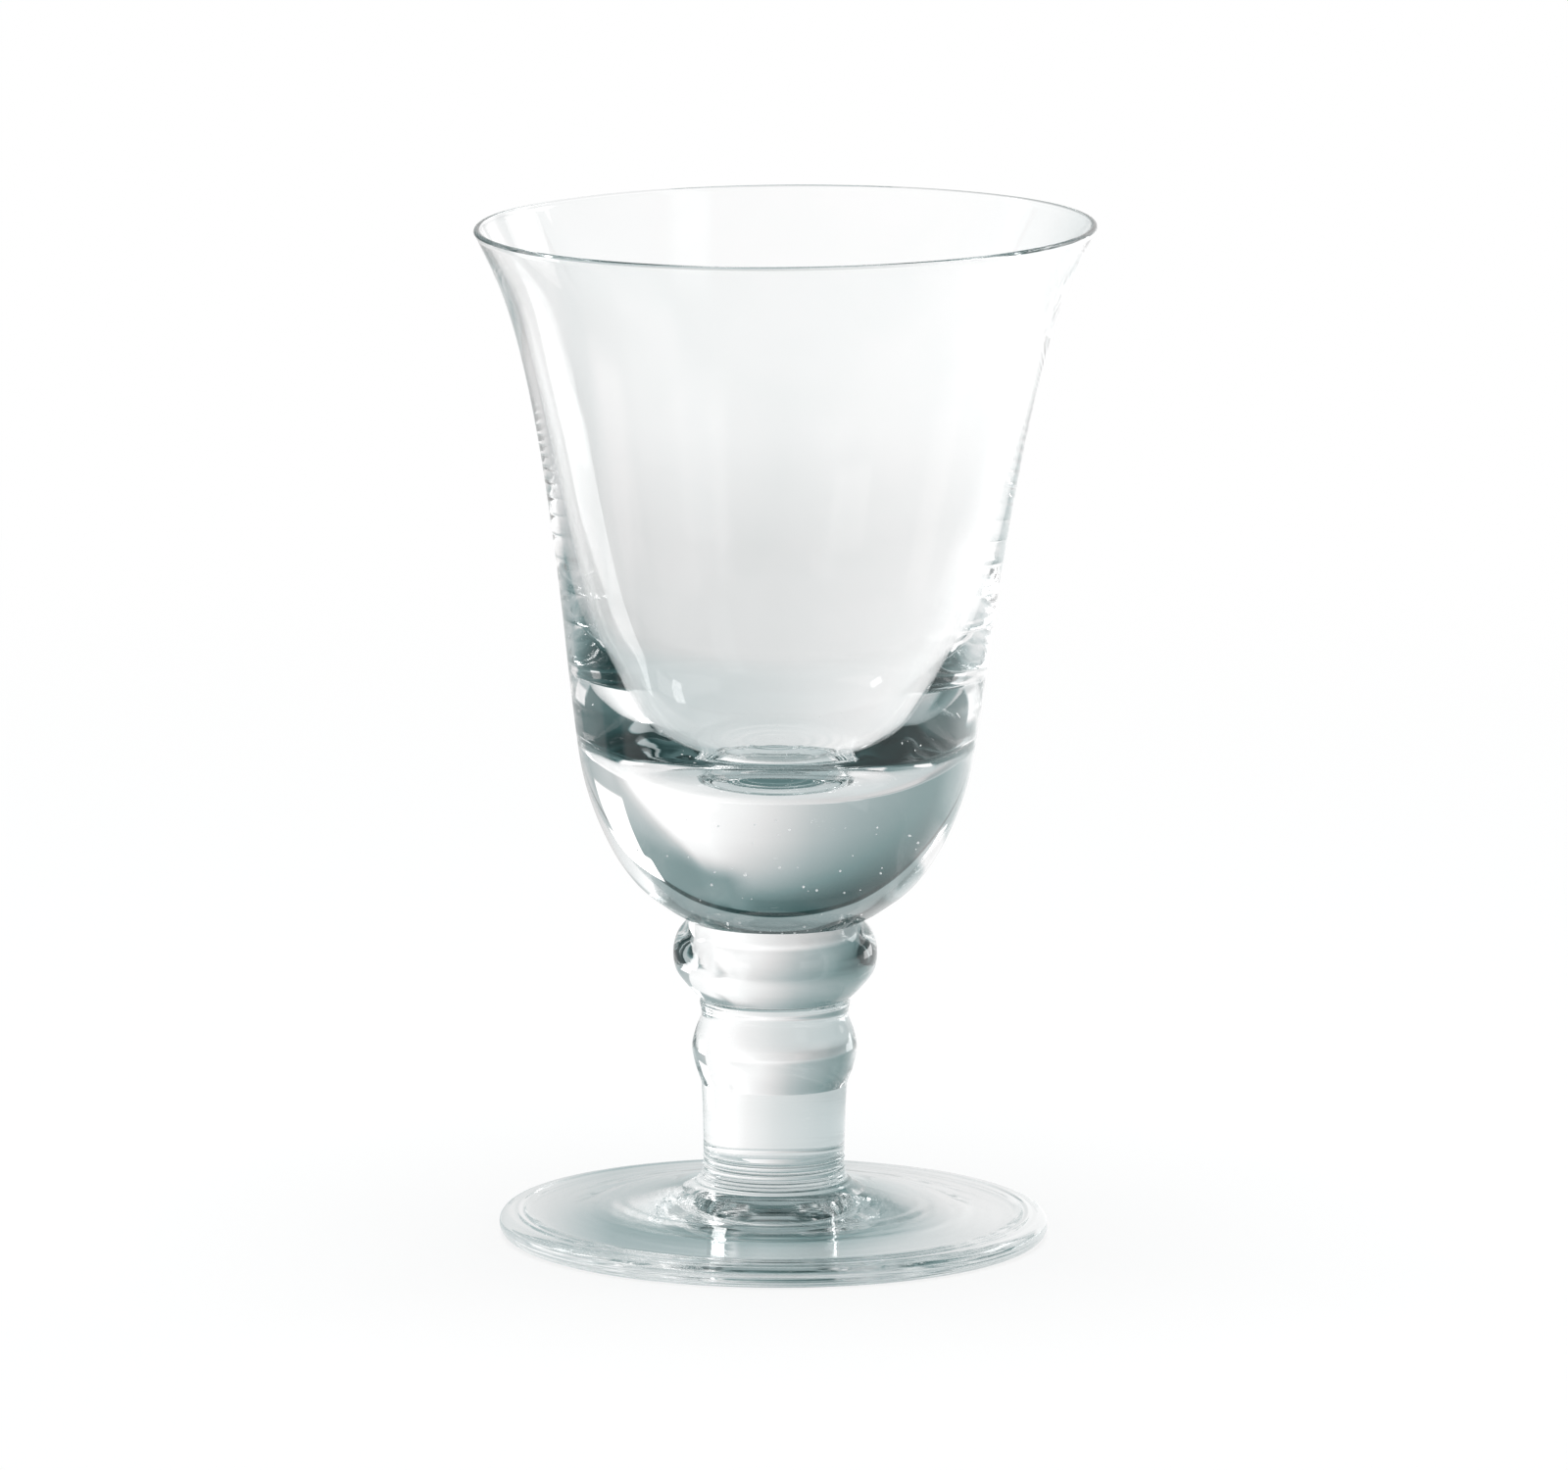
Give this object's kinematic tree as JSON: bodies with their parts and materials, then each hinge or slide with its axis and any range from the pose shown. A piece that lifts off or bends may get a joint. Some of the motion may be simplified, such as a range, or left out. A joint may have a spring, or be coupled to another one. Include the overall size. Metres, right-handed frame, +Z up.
{
  "type": "iced tea glass",
  "caption": "Footed iced tea glass of clear hand-blown glass: flared bowl with a heavy solid base, on a knopped stem and a wide round foot.",
  "frame": {"origin": "centre of the foot's flat resting ring, on the table plane", "axes": "+Z up along the glass's axis, from the foot to the rim; the glass is round, so X and Y are alike"},
  "size_m": [0.108, 0.108, 0.178],
  "materials": {
    "bowl_glass": "clear soda-lime glass, fire-polished, with a few tiny seed bubbles in the solid base",
    "stem_glass": "clear solid soda-lime glass, fire-polished, with faint tool rings at the joints",
    "foot_glass": "clear soda-lime glass, fire-polished, with faint concentric tool rings"
  },
  "bodies": {
    "root": {"bowl": "bowl_glass", "upper_knop": "stem_glass", "lower_knop": "stem_glass", "stem_shaft": "stem_glass", "foot": "foot_glass"}
  },
  "joints": []
}
